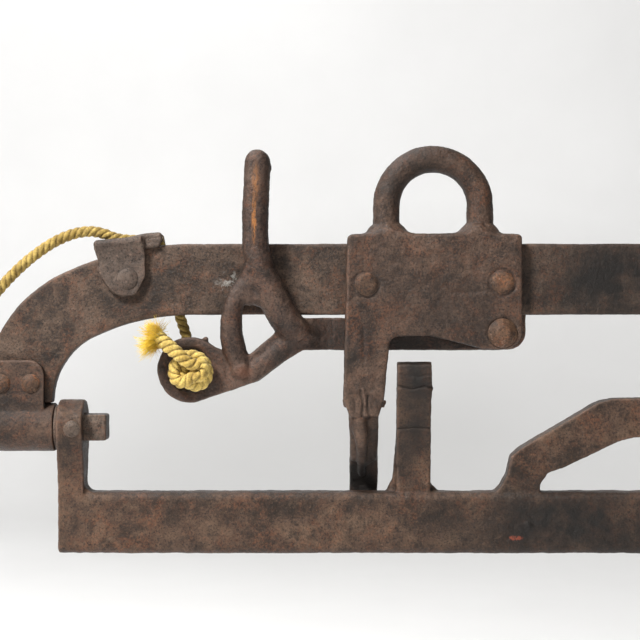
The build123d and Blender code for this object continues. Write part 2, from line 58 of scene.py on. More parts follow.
# ------------------------------------------------------------------ materials
def tone(red, green, blue):
    """A screen colour, 0 to 255, as the linear colour that shaders take."""
    return tuple(
        (c / 255 / 12.92) if c <= 10 else ((c / 255 + 0.055) / 1.055) ** 2.4 for c in (red, green, blue)
    ) + (1.0,)


class Nodes:
    """A small helper that adds nodes to one material and links them."""

    def __init__(self, name):
        self.material = bpy.data.materials.new(name)
        self.material.use_nodes = True
        self.tree = self.material.node_tree
        self.shader = self.tree.nodes["Principled BSDF"]
        self.place = self.tree.nodes.new("ShaderNodeTexCoord").outputs["Object"]

    def link(self, source, target):
        self.tree.links.new(source, target)

    def noise(self, scale, detail=4.0, roughness=0.6, distortion=0.0, stretch=None):
        node = self.tree.nodes.new("ShaderNodeTexNoise")
        node.inputs["Scale"].default_value = scale
        node.inputs["Detail"].default_value = detail
        node.inputs["Roughness"].default_value = roughness
        node.inputs["Distortion"].default_value = distortion
        place = self.place
        if stretch:
            mapping = self.tree.nodes.new("ShaderNodeMapping")
            mapping.inputs["Scale"].default_value = stretch
            self.link(place, mapping.inputs["Vector"])
            place = mapping.outputs["Vector"]
        self.link(place, node.inputs["Vector"])
        return node.outputs["Fac"]

    def ramp(self, source, *stops):
        """stops are (place, colour or grey)."""
        node = self.tree.nodes.new("ShaderNodeValToRGB")
        elements = node.color_ramp.elements
        while len(elements) < len(stops):
            elements.new(0.5)
        for element, (place, colour) in zip(elements, stops):
            element.position = place
            element.color = colour if isinstance(colour, tuple) else (colour, colour, colour, 1.0)
        self.link(source, node.inputs["Fac"])
        return node.outputs["Color"]

    def mix(self, factor, a, b, blend="MIX"):
        node = self.tree.nodes.new("ShaderNodeMix")
        node.data_type = "RGBA"
        node.blend_type = blend
        for value, key in ((factor, 0), (a, 6), (b, 7)):
            if isinstance(value, (float, tuple)):
                node.inputs[key].default_value = value
            else:
                self.link(value, node.inputs[key])
        return node.outputs[2]

    def math(self, operation, a, b=0.0):
        node = self.tree.nodes.new("ShaderNodeMath")
        node.operation = operation
        for value, key in ((a, 0), (b, 1)):
            if isinstance(value, float):
                node.inputs[key].default_value = value
            else:
                self.link(value, node.inputs[key])
        return node.outputs[0]

    def flatness(self):
        """1 on the piece's broad front and back faces and 0 on its edges, whatever the view."""
        parts = self.tree.nodes.new("ShaderNodeSeparateXYZ")
        self.link(self.tree.nodes["Texture Coordinate"].outputs["Normal"], parts.inputs[0])
        return self.math("ABSOLUTE", parts.outputs["Y"])

    def pointiness(self):
        return self.tree.nodes.new("ShaderNodeNewGeometry").outputs["Pointiness"]

    def bump(self, height, distance, strength=1.0, under=None):
        node = self.tree.nodes.new("ShaderNodeBump")
        node.inputs["Strength"].default_value = strength
        node.inputs["Distance"].default_value = distance
        self.link(height, node.inputs["Height"])
        if under is not None:
            self.link(under, node.inputs["Normal"])
        return node.outputs["Normal"]

    def spot(self, centre, radii, soft=0.5):
        """1 near centre and 0 beyond radii: an ellipsoid with a soft edge, in the row frame."""
        mapping = self.tree.nodes.new("ShaderNodeMapping")
        mapping.inputs["Location"].default_value = [-c / r for c, r in zip(centre, radii)]
        mapping.inputs["Scale"].default_value = [1 / r for r in radii]
        self.link(self.place, mapping.inputs["Vector"])
        length = self.tree.nodes.new("ShaderNodeVectorMath")
        length.operation = "LENGTH"
        self.link(mapping.outputs["Vector"], length.inputs[0])
        return self.ramp(length.outputs["Value"], (1.0 - soft, 1.0), (1.0, 0.0))


# near black: the dark grain specks, and the colour of painted shade in darker places
SOOT_AND_SHADE = tone(20, 15, 12)
CREVICE = tone(18, 13, 10)
SPECK = tone(132, 100, 78)
RUBBED = tone(150, 122, 106)
EDGE_WEAR = 0.45
GLOSS = (0.42, 0.66)
# how dark the painted shade on edges and flanks is, against the broad faces
PAINTED_SIDE_SHADE = 0.42


def iron(name, deep, body, pale, rust, rust_cover, extras=()):
    """Old iron: mottled brown patina, rust blooms, specks, rubbed pale edges, painted shade on the flanks and
    pitted skin.
    """
    n = Nodes(name)
    broad = n.noise(30.0, detail=7.0, roughness=0.66, distortion=0.5)
    colour = n.ramp(broad, (0.34, deep), (0.50, body), (0.68, pale))
    blot = n.noise(150.0, detail=6.0, roughness=0.7, distortion=0.3)
    colour = n.mix(n.ramp(blot, (0.36, 0.75), (0.50, 0.0)), colour, deep)
    colour = n.mix(n.ramp(blot, (0.54, 0.0), (0.70, 0.5)), colour, pale)
    bloom = n.noise(58.0, detail=8.0, roughness=0.72, distortion=0.8)
    fleck = n.noise(700.0, detail=4.0, roughness=0.7)
    flecked = n.ramp(fleck, (0.44, 0.05), (0.60, 1.0))
    spread = n.math("MULTIPLY", n.ramp(bloom, (0.47, 0.0), (0.62, 1.0)), flecked)
    colour = n.mix(n.math("MULTIPLY", spread, rust_cover), colour, rust)
    grain = n.noise(900.0, detail=5.0, roughness=0.8)
    colour = n.mix(n.ramp(grain, (0.36, 0.95), (0.49, 0.0)), colour, SOOT_AND_SHADE)
    colour = n.mix(n.ramp(grain, (0.56, 0.0), (0.72, 0.5)), colour, SPECK)
    edge = n.pointiness()
    patchy = n.ramp(bloom, (0.30, 0.35), (0.60, 1.0))
    rubbed = n.math("MULTIPLY", n.ramp(edge, (0.51, 0.0), (0.57, 1.0)), patchy)
    colour = n.mix(n.math("MULTIPLY", rubbed, EDGE_WEAR), colour, RUBBED)
    hollow = n.ramp(edge, (0.42, 1.0), (0.495, 0.0))
    colour = n.mix(n.math("MULTIPLY", hollow, 0.85), colour, CREVICE)
    for make in extras:
        colour = make(n, colour)
    # painted shade: edges and flanks darker than the broad front and back faces
    colour = n.mix(1.0, colour, n.ramp(n.flatness(), (0.0, PAINTED_SIDE_SHADE), (0.8, 1.0)), "MULTIPLY")
    n.link(colour, n.shader.inputs["Base Color"])
    n.link(n.ramp(blot, (0.3, GLOSS[0]), (0.7, GLOSS[1])), n.shader.inputs["Roughness"])
    n.shader.inputs["Metallic"].default_value = 0.0
    n.shader.inputs["Specular IOR Level"].default_value = 0.34
    pits = n.bump(n.noise(420.0, detail=5.0, roughness=0.7), 0.0008, 0.9)
    n.link(n.bump(grain, 0.0003, 0.7, under=pits), n.shader.inputs["Normal"])
    return n.material


def worn_streak(n, colour):
    """The bright orange-brown rub down the front of the lever's handle."""
    upper = n.spot((-0.0950, -0.0195, 0.0110), (0.0030, 0.008, 0.0130), 0.8)
    lower = n.spot((-0.0957, -0.0195, -0.0085), (0.0017, 0.008, 0.0150), 0.6)
    fibrous = n.noise(420.0, detail=6.0, roughness=0.75, stretch=(1.6, 1.0, 0.5))
    torn = n.ramp(fibrous, (0.42, 0.0), (0.54, 1.0))
    streak = n.math("MULTIPLY", n.math("MAXIMUM", n.math("MULTIPLY", upper, 0.55), lower), torn)
    return n.mix(n.math("MULTIPLY", streak, 0.8), colour, tone(168, 108, 52))


def eye_rust(n, colour):
    """Rust on the foot of the strut."""
    foot = n.spot((-0.1015, -0.013, -0.0895), (0.006, 0.01, 0.005), 0.8)
    return n.mix(n.math("MULTIPLY", foot, 0.35), colour, tone(132, 78, 52))


def paint_fleck(n, colour):
    """A small orange mark on the load bar."""
    ragged = n.ramp(n.noise(400.0, detail=3.0), (0.42, 0.0), (0.52, 1.0))
    mark = n.math("MULTIPLY", n.spot((0.0435, -0.008, -0.1782), (0.0046, 0.004, 0.0016), 0.4), ragged)
    return n.mix(n.math("MULTIPLY", mark, 0.6), colour, tone(140, 66, 46))


def pale_scuffs(n, colour):
    """Whitish scuffs on the yoke bar beside the handle."""
    ragged = n.ramp(n.noise(310.0, detail=6.0, roughness=0.7), (0.52, 0.0), (0.62, 1.0))
    area = n.spot((-0.1075, -0.005, -0.0425), (0.012, 0.006, 0.009), 0.8)
    return n.mix(n.math("MULTIPLY", n.math("MULTIPLY", area, ragged), 0.7), colour, tone(170, 168, 162))


def painted_shade_and_grime(patches):
    """Painted shade, with some dirt, in darker places: (centre, radii, strength) in the row frame, in metres.
    """
    def darken(n, colour):
        for centre, radii, strength in patches:
            ragged = n.ramp(n.noise(70.0, detail=4.0), (0.30, 0.55), (0.60, 1.0))
            cover = n.math("MULTIPLY", n.math("MULTIPLY", n.spot(centre, radii, 0.9), ragged), strength)
            # painted shade, with some dirt: the colour pulled towards near black inside each patch
            colour = n.mix(cover, colour, SOOT_AND_SHADE)
        return colour
    return darken


# painted shade, with some dirt: the bar's right part where the light falls off, and two small patches near
# the lever's handle
BAR_SHADE_AND_GRIME = [
    ((0.095, -0.005, -0.040), (0.068, 0.014, 0.050), 1.15),
    ((-0.068, -0.005, -0.050), (0.016, 0.006, 0.012), 0.35),
    ((-0.135, -0.005, -0.028), (0.014, 0.006, 0.012), 0.30),
]
# painted shadow on the tongue's foot behind the load bar and in the groove at its side; painted shade, with
# some dirt, low on the plate and round the eye
CAST_SHADE_AND_GRIME = [
    ((-0.0385, 0.000, -0.152), (0.022, 0.024, 0.032), 1.7),
    ((-0.0315, -0.001, -0.126), (0.0060, 0.012, 0.024), 0.85),
    ((0.010, -0.011, -0.056), (0.044, 0.008, 0.024), 0.55),
    ((-0.010, -0.011, -0.045), (0.030, 0.006, 0.022), 0.30),
    ((0.000, 0.000, 0.014), (0.040, 0.024, 0.032), 0.55),
]
# painted shade, with some dirt: the step at the lever's joggle, along its arm, down the handle's right side
# and by the strut
LEVER_SHADE_AND_GRIME = [
    ((-0.0620, -0.005, -0.0690), (0.007, 0.010, 0.013), 0.55),
    ((-0.020, -0.004, -0.070), (0.060, 0.008, 0.020), 0.80),
    ((-0.0890, -0.020, 0.0060), (0.004, 0.014, 0.026), 0.45),
    ((-0.1180, -0.010, -0.0800), (0.006, 0.006, 0.012), 0.35),
]
# painted shade, with some dirt: the load bar's right part, the latch post's top and lower part, and under the
# brace's foot
FRAME_SHADE_AND_GRIME = [
    ((0.070, -0.008, -0.172), (0.095, 0.016, 0.036), 1.25),
    ((-0.0105, -0.014, -0.092), (0.018, 0.012, 0.022), 1.1),
    ((-0.0105, -0.010, -0.122), (0.016, 0.014, 0.044), 0.95),
    ((0.060, -0.006, -0.149), (0.007, 0.012, 0.009), 0.60),
]
RUST = tone(124, 72, 42)
BRIGHT_RUST = tone(146, 86, 46)
MATERIALS = {
    "cast": iron("cast_iron_patina", tone(36, 26, 20), tone(74, 56, 45), tone(104, 82, 68), RUST, 0.4,
                 extras=[painted_shade_and_grime(CAST_SHADE_AND_GRIME)]),
    "frame": iron("load_bar_patina", tone(34, 24, 16), tone(72, 53, 41), tone(104, 82, 65), RUST, 0.4,
                  extras=[painted_shade_and_grime(FRAME_SHADE_AND_GRIME), paint_fleck]),
    "lever": iron("lever_patina", tone(34, 26, 21), tone(68, 52, 44), tone(100, 80, 68), RUST, 0.35,
                  extras=[worn_streak, eye_rust, painted_shade_and_grime(LEVER_SHADE_AND_GRIME)]),
    "bar": iron("bar_iron_patina", tone(36, 27, 21), tone(76, 60, 49), tone(108, 88, 74), RUST, 0.45,
                extras=[pale_scuffs, painted_shade_and_grime(BAR_SHADE_AND_GRIME)]),
    "guide": iron("guide_patina", tone(50, 42, 37), tone(80, 67, 59), tone(102, 88, 78), RUST, 0.2),
    "rivet": iron("rivet_patina", tone(44, 32, 24), tone(86, 63, 47), tone(116, 88, 66), BRIGHT_RUST, 0.7),
    "pin": iron("pin_patina", tone(54, 46, 40), tone(84, 71, 61), tone(118, 103, 92), RUST, 0.3),
}
LOOK_OF = {
    "yoke_bar": "bar", "hanger_casting": "cast", "hanger_back_plate": "cast", "hanger_rivets": "rivet",
    "lever_pivot_rivet": "rivet", "rope_guide_front_ear": "guide", "rope_guide_rear_ear": "guide",
    "rope_guide_rivet": "guide", "left_end_bearing": "cast", "right_end_bearing": "cast",
    "bearing_rivets": "rivet", "load_bar": "frame", "left_trunnion_pin": "pin", "right_trunnion_pin": "pin",
    "trunnion_cross_rivets": "pin", "thrust_washers": "pin", "cotter_pins": "pin", "trip_lever": "lever",
}


def rope_material(name, clean, worn, dirt, dirt_cover, valley_shade):
    """Yellow rope: painted shade in the valleys between strands, blotched with old dirt."""
    n = Nodes(name)
    blotch = n.noise(110.0, detail=5.0, roughness=0.65)
    colour = n.ramp(blotch, (0.36, worn), (0.62, clean))
    soil = n.ramp(n.noise(330.0, detail=6.0, roughness=0.75), (0.46, 0.0), (0.62, 1.0))
    colour = n.mix(n.math("MULTIPLY", soil, dirt_cover), colour, dirt)
    # painted shade in the valleys between the strands
    valley = n.ramp(n.pointiness(), (0.44, 1.0), (0.515, 0.0))
    colour = n.mix(n.math("MULTIPLY", valley, valley_shade), colour, tone(62, 44, 16))
    n.link(colour, n.shader.inputs["Base Color"])
    n.shader.inputs["Roughness"].default_value = 0.75
    n.shader.inputs["Specular IOR Level"].default_value = 0.25
    n.shader.inputs["Sheen Weight"].default_value = 0.15
    n.link(n.bump(n.noise(2400.0, detail=3.0), 0.00025, 0.7), n.shader.inputs["Normal"])
    return n.material


ROPE = rope_material("rope_laid_yellow", tone(200, 172, 96), tone(152, 126, 62), tone(92, 72, 38), 0.6, 0.95)
KNOT = rope_material("rope_knot_yellow", tone(232, 204, 116), tone(190, 158, 78), tone(98, 72, 36), 0.5, 0.95)
TUFT = rope_material("rope_fray_yellow", tone(246, 214, 74), tone(228, 190, 54), tone(160, 122, 38), 0.35,
                     0.4)


# ------------------------------------------------------------------ iron skins
def applied(obj):
    """Turn the object's modifiers into its mesh."""
    graph = bpy.context.evaluated_depsgraph_get()
    mesh = bpy.data.meshes.new_from_object(obj.evaluated_get(graph), depsgraph=graph)
    obj.modifiers.clear()
    obj.data = mesh
    return obj


def roughen(mesh, amounts):
    """Push each point along its normal by layers of smooth noise: amounts are (wavelength, height)."""
    count = len(mesh.vertices)
    points = np.empty(count * 3)
    normals = np.empty(count * 3)
    mesh.vertices.foreach_get("co", points)
    mesh.vertices.foreach_get("normal", normals)
    points, normals = points.reshape(-1, 3), normals.reshape(-1, 3)
    push = np.zeros(count)
    for wavelength, height in amounts:
        push += height * np.array([noise.noise(Vector(p)) for p in points / wavelength])
    points += normals * push[:, None]
    mesh.vertices.foreach_set("co", points.ravel())
    mesh.update()


def unit_ball():
    """Points and faces of a round ball of radius 1."""
    shape = bmesh.new()
    bmesh.ops.create_icosphere(shape, subdivisions=3, radius=1.0)
    shape.verts.index_update()
    points = np.array([v.co for v in shape.verts])
    faces = np.array([[v.index for v in f.verts] for f in shape.faces])
    shape.free()
    return points, faces


def swell(mesh, chains):
    """Add round limbs to a mesh before it is skinned: each chain is (x, y, z, radius) stations in mm."""
    ball_points, ball_faces = unit_ball()
    balls = []
    for chain in chains:
        for a, b in zip(chain, chain[1:]):
            a, b = np.array(a, float), np.array(b, float)
            count = math.ceil(np.linalg.norm(a[:3] - b[:3]) / (0.35 * min(a[3], b[3])))
            balls.extend(a + (b - a) * t for t in np.linspace(0, 1, count, endpoint=False))
        balls.append(np.array(chain[-1], float))
    points = [tuple(v.co) for v in mesh.vertices]
    faces = [tuple(polygon.vertices) for polygon in mesh.polygons]
    for x, y, z, radius in balls:
        faces.extend(map(tuple, (ball_faces + len(points)).tolist()))
        points.extend(map(tuple, ((ball_points * radius + (x, y, z)) * MM).tolist()))
    mesh.clear_geometry()
    mesh.from_pydata(points, [], faces)
    mesh.update()


FRONT = np.array((0.0, -1.0, 0.0))


def stroke(mesh, lines):
    """Raise or sink the front skin along lines: (height, width, (x, z), (x, z), ...) in mm."""
    count = len(mesh.vertices)
    points = np.empty(count * 3)
    normals = np.empty(count * 3)
    mesh.vertices.foreach_get("co", points)
    mesh.vertices.foreach_get("normal", normals)
    points, normals = points.reshape(-1, 3), normals.reshape(-1, 3)
    flat = points[:, [0, 2]] / MM
    turned = np.clip(normals @ FRONT * 2.0, 0, 1)
    for height, width, *route in lines:
        nearest = np.full(count, 1e9)
        for a, b in zip(route, route[1:]):
            a, b = np.array(a), np.array(b)
            t = np.clip((flat - a) @ (b - a) / max(1e-9, (b - a) @ (b - a)), 0, 1)
            nearest = np.minimum(nearest, np.linalg.norm(flat - a - t[:, None] * (b - a), axis=1))
        push = height * MM * np.exp(-((nearest / width) ** 2)) * turned
        points += FRONT * push[:, None]
    mesh.vertices.foreach_set("co", points.ravel())
    mesh.update()


def skin(node, voxel, soften, amounts, look, chains=(), lines=()):
    """A rough, round-edged iron surface in place of a CAD node."""
    source = frame["nodes"][node]
    obj = bpy.data.objects.new(f"{node}_iron", source.data.copy())
    bpy.context.scene.collection.objects.link(obj)
    if chains:
        swell(obj.data, chains)
    remesh = obj.modifiers.new("remesh", "REMESH")
    remesh.mode = "VOXEL"
    remesh.voxel_size = voxel
    smooth = obj.modifiers.new("smooth", "SMOOTH")
    smooth.factor = 0.5
    smooth.iterations = soften
    applied(obj)
    stroke(obj.data, lines)
    roughen(obj.data, amounts)
    obj.data.materials.clear()
    obj.data.materials.append(MATERIALS[look])
    for polygon in obj.data.polygons:
        polygon.use_smooth = True
    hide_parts(node)
    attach(obj, BODY_OF[node])
    return obj


CAST = [(14 * MM, 0.34 * MM), (4 * MM, 0.20 * MM), (1.7 * MM, 0.12 * MM)]
ROLLED = [(22 * MM, 0.25 * MM), (5 * MM, 0.12 * MM), (1.7 * MM, 0.09 * MM)]
SMALL = [(5 * MM, 0.12 * MM), (1.6 * MM, 0.06 * MM)]

# the eye's feet flare forward and sideways into the plate's top edge
EYE_FOOT_X = 25.2
EYE_BAR_RADIUS = 7.2
PLATE_TOP_Z = -15.4
FOOT_FIRST_ROW_Y = -9.0
FOOT_BALL = 2.2
FOOT_ROWS = 7
FOOT_ROW_GAP = 1.5


def foot_flare(x, y):
    """How far the skin stands above the plate's top edge at (x, y), in mm."""
    beyond = max(0.0, math.hypot(abs(x) - EYE_FOOT_X, y) - EYE_BAR_RADIUS)
    inside = abs(x) < EYE_FOOT_X
    return (6.0 if inside else 5.2) * math.exp(-beyond / (3.2 if inside else 1.9))


EYE_FEET = []
for row in range(FOOT_ROWS):
    row_y = FOOT_FIRST_ROW_Y + FOOT_ROW_GAP * row
    EYE_FEET.append([
        (x, row_y, PLATE_TOP_Z + foot_flare(x, row_y) - FOOT_BALL, FOOT_BALL)
        for x in np.arange(-43.0, 44.1, 1.5)
    ])


def ring_angles():
    """Angles of a closed ring, the first one again at its end."""
    return [2 * math.pi * i / 24 for i in range(25)]


def ring_at(x, z, radius, height, width):
    """A round groove or ridge as one stroke."""
    return (height, width, *[(x + radius * math.cos(a), z + radius * math.sin(a)) for a in ring_angles()])


# cracks and flash where the hanger's leg was drawn down, and the sunk rims round its rivets
LEG_MARKS = [
    (0.5, 1.2, (-38.2, -99.0), (-37.0, -106.0)),
    (-1.0, 0.5, (-39.4, -99.0), (-38.2, -106.0), (-38.6, -113.0)),
    (-0.9, 0.5, (-35.4, -102.0), (-35.8, -108.0), (-34.6, -114.0)),
    (-0.5, 0.5, (-43.0, -103.0), (-42.2, -110.0)),
    (-0.35, 0.9, (-38.0, -64.0), (-37.6, -84.0)),
    (-0.35, 1.2, (10.0, -47.0), (38.0, -45.5)),
    (0.35, 1.0, (26.0, -36.0), (31.0, -40.5)),
    ring_at(-36.2, -42.7, 7.2, -0.45, 0.6),
    ring_at(36.2, -41.6, 7.2, -0.45, 0.6),
    ring_at(36.2, -68.6, 7.6, -0.5, 0.6),
    ring_at(40.0, -30.2, 3.6, 0.18, 0.6),
]
LEG_BURRS = [
    [(-48.2, -3.2, -104.6, 0.9), (-47.2, -3.2, -107.6, 1.3)],
    [(-26.2, -3.2, -105.4, 1.0), (-27.2, -3.2, -107.8, 1.2)],
    [(-39.6, -4.6, -105.0, 4.0), (-40.4, -3.2, -113.0, 3.6), (-40.6, -1.6, -122.0, 2.4),
     (-40.3, -0.6, -134.0, 1.0)],
    [(-37.0, -6.6, -103.5, 1.0), (-36.6, -5.6, -112.0, 1.1), (-36.0, -3.4, -119.0, 0.7)],
]
# the leg thins into the tongue, with a round ridge down its front
LEG_TAPER = [
    [(-39.9, -6.4, -110.0, 4.4), (-39.3, -6.6, -121.0, 4.0), (-38.8, -7.0, -128.0, 3.2),
     (-38.6, -1.0, -137.0, 2.6), (-38.4, 5.4, -145.0, 2.0)],
    [(-42.8, -6.4, -107.0, 3.3), (-42.6, -4.6, -116.0, 3.0), (-42.4, -1.6, -125.0, 2.5),
     (-42.4, 1.6, -136.0, 2.1)],
    [(-36.0, -6.6, -107.0, 3.6), (-35.8, -4.6, -116.0, 3.4), (-35.6, -1.6, -126.0, 2.8),
     (-35.4, 1.6, -138.0, 2.3)],
    [(-32.4, -6.4, -107.0, 3.3), (-32.4, -4.4, -116.0, 3.0), (-32.4, -1.4, -125.0, 2.5),
     (-32.2, 1.6, -136.0, 2.1)],
]
# the handle thickens into an elbow that runs into the lever's arm, and the strut springs from its side
LEVER_LIMBS = [
    [(-94.4, -12.8, 22.0, 6.9), (-95.6, -12.8, -5.0, 6.9), (-95.6, -12.8, -22.0, 7.1),
     (-92.6, -12.8, -36.0, 7.7), (-87.0, -12.6, -48.0, 8.2), (-81.0, -11.0, -58.5, 8.6),
     (-76.0, -7.0, -66.5, 8.3), (-71.0, -4.2, -68.9, 8.1), (-65.5, -1.2, -69.1, 7.2),
     (-59.5, 1.2, -69.2, 5.4)],
    [(-88.2, -12.8, 19.8, 1.4), (-87.8, -12.8, 18.4, 1.3)],
    [(-96.0, -12.8, -34.0, 6.2), (-98.0, -12.8, -43.0, 6.0), (-98.4, -12.6, -49.0, 5.0)],
    [(-101.0, -12.8, -44.0, 5.4), (-102.0, -12.8, -48.0, 5.0)],
    [(-92.5, -12.8, -42.0, 6.2), (-93.0, -12.8, -49.0, 5.6)],
    [(-101.5, -12.8, -43.0, 4.6), (-104.8, -12.8, -48.5, 5.2), (-107.4, -12.6, -55.0, 5.4),
     (-107.8, -11.6, -62.0, 5.6), (-107.6, -9.8, -70.0, 5.7), (-106.0, -7.6, -79.0, 6.0),
     (-103.6, -5.6, -88.0, 6.2)],
    [(-72.0, -4.5, -71.0, 6.8), (-79.0, -5.5, -74.4, 6.6), (-88.0, -5.6, -82.4, 6.3),
     (-96.5, -5.6, -88.6, 6.3)],
    [(-123.0, -3.2, -73.2, 1.9), (-122.4, -3.4, -72.0, 1.7)],
]
# the rope eye's inner rim is thick and round
RIM_X, RIM_Y, RIM_Z, RIM_RADIUS, RIM_BALL = -130.4, -5.5, -88.3, 12.6, 2.8
LEVER_LIMBS.append([
    (RIM_X + RIM_RADIUS * math.cos(a), RIM_Y, RIM_Z + RIM_RADIUS * math.sin(a), RIM_BALL)
    for a in ring_angles()
])
LEVER_MARKS = [
    (-0.6, 3.2, (-62.5, -61.0), (-62.0, -77.0)),
    (-0.35, 0.7, (-55.0, -60.0), (-54.0, -70.0)),
    (-0.5, 1.2, (-111.8, -84.0), (-110.5, -93.0)),
]
# cracks, flash and a nub on the load bar and its latch post
FRAME_MARKS = [
    (-1.0, 0.6, (-20.4, -96.4), (-12.0, -98.2), (-6.0, -96.6), (-1.0, -97.4)),
    (-0.5, 0.5, (-19.0, -90.5), (-9.0, -91.8), (-2.0, -90.4)),
    (0.4, 0.8, (-19.0, -93.5), (-9.0, -94.4), (-2.0, -93.8)),
    (-0.7, 0.5, (-20.4, -119.8), (-10.0, -118.9), (-1.0, -119.6)),
    (1.1, 1.5, (50.2, -171.0), (50.8, -171.8)),
    (-0.4, 1.0, (-100.0, -172.0), (-88.0, -173.0)),
    (-0.4, 0.8, (-82.0, -168.0), (-70.0, -167.6)),
    (0.3, 1.4, (-150.0, -166.0), (-146.0, -176.0)),
]
FRAME_LUMPS = [
    [(-3.0, 0, -151.4, 2.8), (0.6, 0, -155.4, 2.8)],
    [(-20.6, 0, -150.0, 2.6), (-23.0, 0, -155.0, 2.8)],
    [(-2.4, -12.5, -96.0, 0.9), (-1.4, -12.5, -98.4, 1.0)],
    [(-187.6, -3.0, -113.6, 1.4), (-186.0, -3.0, -112.6, 1.0)],
]
# rivet heads are worn flat
RIVET_WEAR = [
    (-1.5, 4.2, (-36.2, -42.7), (-36.1, -42.7)),
    (-1.7, 4.4, (36.2, -41.6), (36.3, -41.6)),
    (-1.0, 4.2, (-164.0, -39.6), (-163.9, -39.6)),
]
# the guide's lip runs on past its ear and hides the rope, and the ear's lower edge is round
GUIDE_TAB = [
    [(-162.0, -5.4, -18.4, 1.8), (-154.0, -5.4, -16.9, 2.0), (-147.6, -5.4, -16.4, 2.0)],
    [(-158.0, -5.4, -19.6, 1.9), (-152.0, -5.4, -19.0, 2.1), (-147.2, -5.4, -18.6, 2.1)],
    [(-157.0, -5.4, -21.4, 1.9), (-152.4, -5.4, -21.6, 2.0), (-148.4, -5.4, -20.8, 2.0)],
    [(-178.6, -6.5, -34.0, 1.75), (-175.0, -6.5, -41.2, 1.75), (-170.8, -6.5, -46.0, 1.75),
     (-166.0, -6.5, -47.6, 1.75), (-161.4, -6.5, -46.2, 1.75), (-157.8, -6.5, -42.0, 1.75),
     (-156.0, -6.5, -36.0, 1.75)],
]
# the ear's face rises into its lip
EAR_FRONT, LIP_RISE, EAR_BALL, EAR_ROWS = 8.25, 2.7, 2.0, 8
for row in range(1, EAR_ROWS):
    drop = 1.5 * row
    ball_y = EAR_BALL - EAR_FRONT - LIP_RISE * (1 - row / EAR_ROWS) ** 2
    GUIDE_TAB.append([
        (-180.4 + 0.3 * drop, ball_y, -21.6 - drop, EAR_BALL), (-156.6, ball_y, -19.2 - drop, EAR_BALL)
    ])
skin("yoke_bar", 0.8 * MM, 3, ROLLED, "bar")
skin("hanger_casting", 0.6 * MM, 6, CAST, "cast", EYE_FEET + LEG_BURRS + LEG_TAPER, LEG_MARKS)
skin("hanger_back_plate", 0.7 * MM, 6, CAST, "cast")
skin("trip_lever", 0.6 * MM, 8, CAST, "lever", LEVER_LIMBS, LEVER_MARKS)
skin("load_bar", 0.8 * MM, 5, CAST, "frame", FRAME_LUMPS, FRAME_MARKS)
for node in ("left_end_bearing", "right_end_bearing"):
    skin(node, 0.7 * MM, 5, SMALL, "cast")
for node in ("left_trunnion_pin", "right_trunnion_pin"):
    skin(node, 0.5 * MM, 3, SMALL, "pin")
skin("rope_guide_front_ear", 0.4 * MM, 9, SMALL, "guide", GUIDE_TAB)
skin("rope_guide_rear_ear", 0.4 * MM, 6, SMALL, "guide")
for node in ("hanger_rivets", "rope_guide_rivet"):
    skin(node, 0.36 * MM, 2, SMALL, LOOK_OF[node], (), RIVET_WEAR)
for node in ("lever_pivot_rivet", "bearing_rivets", "trunnion_cross_rivets",
             "thrust_washers", "cotter_pins"):
    skin(node, 0.36 * MM, 2, SMALL, LOOK_OF[node])


# ------------------------------------------------------------------ rope
ROPE_RADIUS = 2.9 * MM
STRANDS = 3
LAY = 11.5 * MM


def millimetres(*points):
    return [Vector(p) * MM for p in points]


def line_through(name, points):
    """Evenly spaced points on the smooth NURBS line that has these control points."""
    data = bpy.data.curves.new(name, "CURVE")
    data.dimensions = "3D"
    spline = data.splines.new("NURBS")
    spline.points.add(len(points) - 1)
    for place, point in zip(spline.points, points):
        place.co = (*point, 1.0)
    spline.order_u = 3
    spline.use_endpoint_u = True
    spline.resolution_u = 24
    obj = bpy.data.objects.new(name, data)
    bpy.context.scene.collection.objects.link(obj)
    graph = bpy.context.evaluated_depsgraph_get()
    mesh = bpy.data.meshes.new_from_object(obj.evaluated_get(graph), depsgraph=graph)
    line = np.array([v.co for v in mesh.vertices])
    bpy.data.objects.remove(obj)
    bpy.data.meshes.remove(mesh)
    return line


def spaced(line, step):
    """The same line with points a step apart."""
    along = np.concatenate([[0], np.cumsum(np.linalg.norm(np.diff(line, axis=0), axis=1))])
    marks = np.linspace(0, along[-1], max(2, round(along[-1] / step) + 1))
    return np.stack([np.interp(marks, along, line[:, i]) for i in range(3)], axis=1), marks


def frames_along(line):
    """Directions across a line that turn as little as they can."""
    tangents = np.gradient(line, axis=0)
    tangents /= np.linalg.norm(tangents, axis=1)[:, None]
    side = np.cross(tangents[0], (0.3, 1.0, 0.2))
    sides = []
    for tangent in tangents:
        side = side - tangent * side.dot(tangent)
        side = side / np.linalg.norm(side)
        sides.append(side)
    sides = np.array(sides)
    return sides, np.cross(tangents, sides)


def mesh_object(name, points, faces, material):
    mesh = bpy.data.meshes.new(name)
    mesh.from_pydata([tuple(p) for p in points], [], faces)
    mesh.materials.append(material)
    for polygon in mesh.polygons:
        polygon.use_smooth = True
    obj = bpy.data.objects.new(name, mesh)
    bpy.context.scene.collection.objects.link(obj)
    return obj


